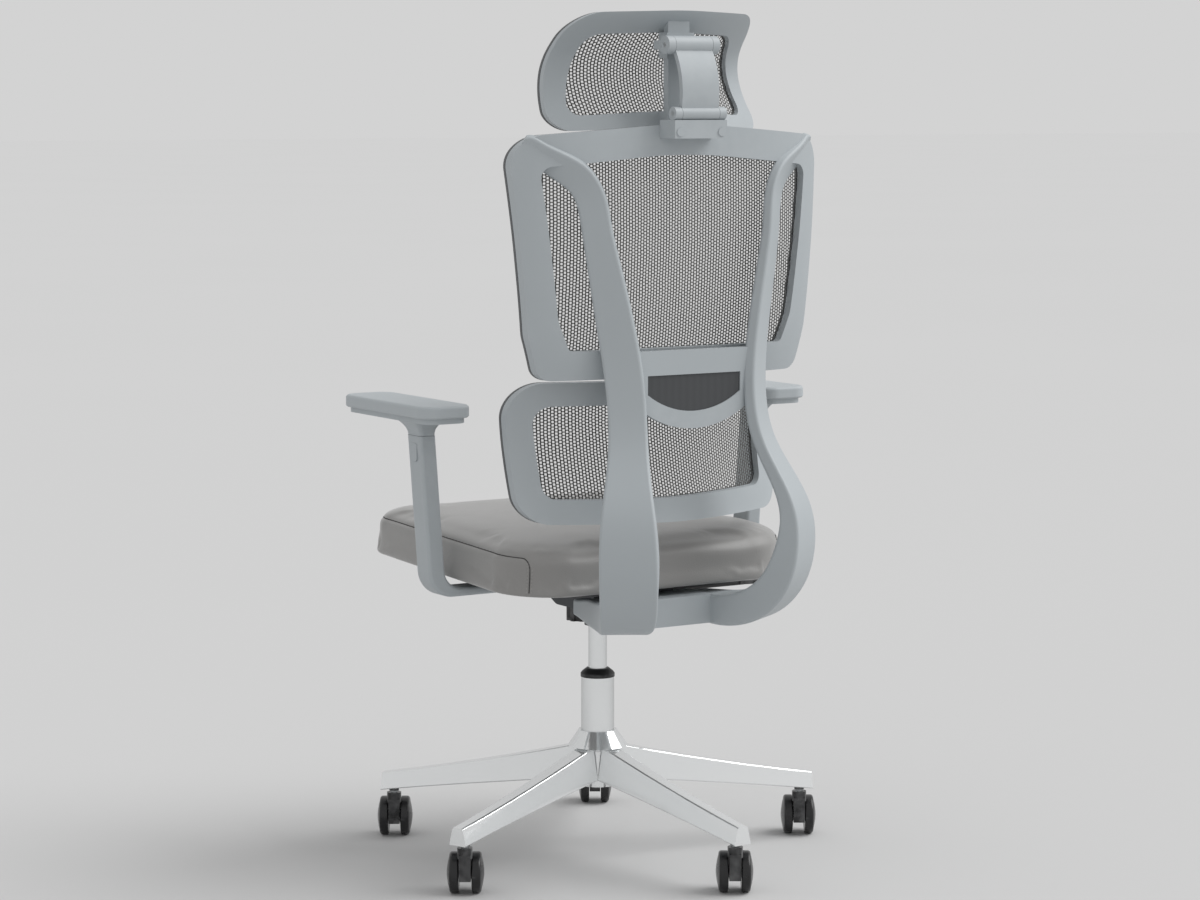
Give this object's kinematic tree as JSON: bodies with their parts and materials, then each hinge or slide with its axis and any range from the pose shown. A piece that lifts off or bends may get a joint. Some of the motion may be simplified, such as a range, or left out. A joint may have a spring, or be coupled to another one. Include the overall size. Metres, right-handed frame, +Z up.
{
  "type": "office chair",
  "caption": "High-back mesh office chair with adjustable headrest, height-adjustable arms, tilting back, gas-lift column and five-star base on twin-wheel casters.",
  "frame": {"origin": "on the floor under the gas-lift axis", "axes": "+Z up, the chair faces -Y, the sitter's left is +X"},
  "size_m": [0.7014, 0.6839, 1.2617],
  "materials": {
    "chromed_base": "polished chrome over die-cast aluminium",
    "chromed_tube": "bright chromed tube",
    "black_plastic": "black moulded plastic",
    "caster_plastic": "smooth black nylon",
    "bright_steel": "zinc plated steel",
    "dark_steel": "dark grey powder coat",
    "dark_plastic": "dark plastic board",
    "seat_leather": "grey coated upholstery fabric, fine grain",
    "grey_plastic": "light blue-grey moulded plastic, fine texture",
    "arm_pad_foam": "light grey soft-touch pad",
    "grey_fabric_edge": "dark grey fabric-wrapped edge",
    "mesh_fabric": "open woven mesh, grey on beige",
    "dark_insert": "dark grey ribbed insert"
  },
  "bodies": {
    "base": {"star_base": "chromed_base", "gas_cylinder_tube": "chromed_tube", "cylinder_guide_bush": "black_plastic", "caster_stem_sleeves": "black_plastic"},
    "caster_1": {"caster_1_housing": "caster_plastic", "caster_1_stem": "bright_steel"},
    "wheel_1_left": {"caster_1_wheel_left": "caster_plastic"},
    "wheel_1_right": {"caster_1_wheel_right": "caster_plastic"},
    "caster_2": {"caster_2_housing": "caster_plastic", "caster_2_stem": "bright_steel"},
    "wheel_2_left": {"caster_2_wheel_left": "caster_plastic"},
    "wheel_2_right": {"caster_2_wheel_right": "caster_plastic"},
    "caster_3": {"caster_3_housing": "caster_plastic", "caster_3_stem": "bright_steel"},
    "wheel_3_left": {"caster_3_wheel_left": "caster_plastic"},
    "wheel_3_right": {"caster_3_wheel_right": "caster_plastic"},
    "caster_4": {"caster_4_housing": "caster_plastic", "caster_4_stem": "bright_steel"},
    "wheel_4_left": {"caster_4_wheel_left": "caster_plastic"},
    "wheel_4_right": {"caster_4_wheel_right": "caster_plastic"},
    "caster_5": {"caster_5_housing": "caster_plastic", "caster_5_stem": "bright_steel"},
    "wheel_5_left": {"caster_5_wheel_left": "caster_plastic"},
    "wheel_5_right": {"caster_5_wheel_right": "caster_plastic"},
    "column": {"gas_piston": "chromed_tube"},
    "valve": {"valve_button": "bright_steel"},
    "seat": {"tilt_housing": "dark_steel", "recline_pin": "bright_steel", "seat_plate": "dark_steel", "seat_pan": "dark_plastic", "seat_cushion": "seat_leather", "arm_left_post": "grey_plastic", "arm_right_post": "grey_plastic"},
    "knob": {"tension_knob": "black_plastic"},
    "lever": {"height_lever": "black_plastic"},
    "arm_left": {"arm_left_slider": "grey_plastic", "arm_left_pad": "arm_pad_foam"},
    "arm_left_button": {"arm_left_release_button": "grey_plastic"},
    "arm_right": {"arm_right_slider": "grey_plastic", "arm_right_pad": "arm_pad_foam"},
    "arm_right_button": {"arm_right_release_button": "grey_plastic"},
    "back": {"back_frame": "grey_plastic", "upper_mesh_carrier": "grey_fabric_edge", "upper_mesh": "mesh_fabric", "lumbar_insert": "dark_insert", "lower_ring": "grey_plastic", "lower_mesh_carrier": "grey_fabric_edge", "lower_mesh": "mesh_fabric", "ring_standoffs": "grey_plastic", "neck_bracket": "grey_plastic", "neck_low_pin": "bright_steel", "bracket_screw_caps": "grey_plastic"},
    "neck": {"neck_link": "grey_plastic"},
    "neck_block": {"neck_slider": "grey_plastic", "neck_high_pin": "bright_steel"},
    "headrest": {"headrest_frame": "grey_plastic", "headrest_mesh_carrier": "grey_fabric_edge", "headrest_mesh": "mesh_fabric"}
  },
  "joints": [
    {"name": "caster_1_swivel", "type": "hinge", "parent": "base", "child": "caster_1", "pos_m": [-0.17095, -0.28227, 0.07], "axis": [0, 0, 1], "continuous": true},
    {"name": "wheel_1_left_spin", "type": "hinge", "parent": "caster_1", "child": "wheel_1_left", "pos_m": [-0.18155, -0.29923, 0.03], "axis": [0.848, -0.5299, 0], "continuous": true},
    {"name": "wheel_1_right_spin", "type": "hinge", "parent": "caster_1", "child": "wheel_1_right", "pos_m": [-0.18155, -0.29923, 0.03], "axis": [0.848, -0.5299, 0], "continuous": true},
    {"name": "caster_2_swivel", "type": "hinge", "parent": "base", "child": "caster_2", "pos_m": [0.21563, -0.24981, 0.07], "axis": [0, 0, 1], "continuous": true},
    {"name": "wheel_2_left_spin", "type": "hinge", "parent": "caster_2", "child": "wheel_2_left", "pos_m": [0.20503, -0.26677, 0.03], "axis": [0.848, -0.5299, 0], "continuous": true},
    {"name": "wheel_2_right_spin", "type": "hinge", "parent": "caster_2", "child": "wheel_2_right", "pos_m": [0.20503, -0.26677, 0.03], "axis": [0.848, -0.5299, 0], "continuous": true},
    {"name": "caster_3_swivel", "type": "hinge", "parent": "base", "child": "caster_3", "pos_m": [0.30422, 0.12788, 0.07], "axis": [0, 0, 1], "continuous": true},
    {"name": "wheel_3_left_spin", "type": "hinge", "parent": "caster_3", "child": "wheel_3_left", "pos_m": [0.29362, 0.11092, 0.03], "axis": [0.848, -0.5299, 0], "continuous": true},
    {"name": "wheel_3_right_spin", "type": "hinge", "parent": "caster_3", "child": "wheel_3_right", "pos_m": [0.29362, 0.11092, 0.03], "axis": [0.848, -0.5299, 0], "continuous": true},
    {"name": "caster_4_swivel", "type": "hinge", "parent": "base", "child": "caster_4", "pos_m": [-0.02761, 0.32884, 0.07], "axis": [0, 0, 1], "continuous": true},
    {"name": "wheel_4_left_spin", "type": "hinge", "parent": "caster_4", "child": "wheel_4_left", "pos_m": [-0.03821, 0.31188, 0.03], "axis": [0.848, -0.5299, 0], "continuous": true},
    {"name": "wheel_4_right_spin", "type": "hinge", "parent": "caster_4", "child": "wheel_4_right", "pos_m": [-0.03821, 0.31188, 0.03], "axis": [0.848, -0.5299, 0], "continuous": true},
    {"name": "caster_5_swivel", "type": "hinge", "parent": "base", "child": "caster_5", "pos_m": [-0.32128, 0.07536, 0.07], "axis": [0, 0, 1], "continuous": true},
    {"name": "wheel_5_left_spin", "type": "hinge", "parent": "caster_5", "child": "wheel_5_left", "pos_m": [-0.33188, 0.0584, 0.03], "axis": [0.848, -0.5299, 0], "continuous": true},
    {"name": "wheel_5_right_spin", "type": "hinge", "parent": "caster_5", "child": "wheel_5_right", "pos_m": [-0.33188, 0.0584, 0.03], "axis": [0.848, -0.5299, 0], "continuous": true},
    {"name": "gas_lift", "type": "slide", "parent": "base", "child": "column", "axis": [0, 0, 1], "range_m": [-0.055, 0.035]},
    {"name": "seat_swivel", "type": "hinge", "parent": "column", "child": "seat", "pos_m": [0, 0, 0.39], "axis": [0, 0, 1], "continuous": true},
    {"name": "valve_press", "type": "slide", "parent": "column", "child": "valve", "axis": [0, 0, -1], "range_m": [0, 0.002], "stiffness_N_per_m": 4000},
    {"name": "lever_lift", "type": "hinge", "parent": "seat", "child": "lever", "pos_m": [-0.038, 0.028, 0.398], "axis": [0, 1, 0], "range_deg": [0, 4], "stiffness_Nm_per_rad": 6},
    {"name": "knob_turn", "type": "hinge", "parent": "seat", "child": "knob", "pos_m": [0, -0.05, 0.37], "axis": [0, 0, 1], "continuous": true},
    {"name": "back_recline", "type": "hinge", "parent": "seat", "child": "back", "pos_m": [0, 0.118, 0.4], "axis": [-1, 0, 0], "range_deg": [0, 18], "stiffness_Nm_per_rad": 160, "springref_deg": -20.05},
    {"name": "arm_left_height", "type": "slide", "parent": "seat", "child": "arm_left", "axis": [0.0719, 0, 0.9974], "range_m": [0, 0.06]},
    {"name": "arm_left_button_press", "type": "slide", "parent": "seat", "child": "arm_left_button", "axis": [-1, 0, 0], "range_m": [0, 0.001], "stiffness_N_per_m": 600},
    {"name": "arm_right_height", "type": "slide", "parent": "seat", "child": "arm_right", "axis": [-0.0719, 0, 0.9974], "range_m": [0, 0.06]},
    {"name": "arm_right_button_press", "type": "slide", "parent": "seat", "child": "arm_right_button", "axis": [1, 0, 0], "range_m": [0, 0.001], "stiffness_N_per_m": 600},
    {"name": "neck_fold", "type": "hinge", "parent": "back", "child": "neck", "pos_m": [0, 0.268, 1.117], "axis": [1, 0, 0], "range_deg": [-8, 4]},
    {"name": "headrest_tilt", "type": "hinge", "parent": "neck", "child": "neck_block", "pos_m": [0, 0.247, 1.213], "axis": [1, 0, 0], "range_deg": [-20, 2]},
    {"name": "headrest_height", "type": "slide", "parent": "neck_block", "child": "headrest", "axis": [0, 0, 1], "range_m": [0, 0.04]}
  ]
}
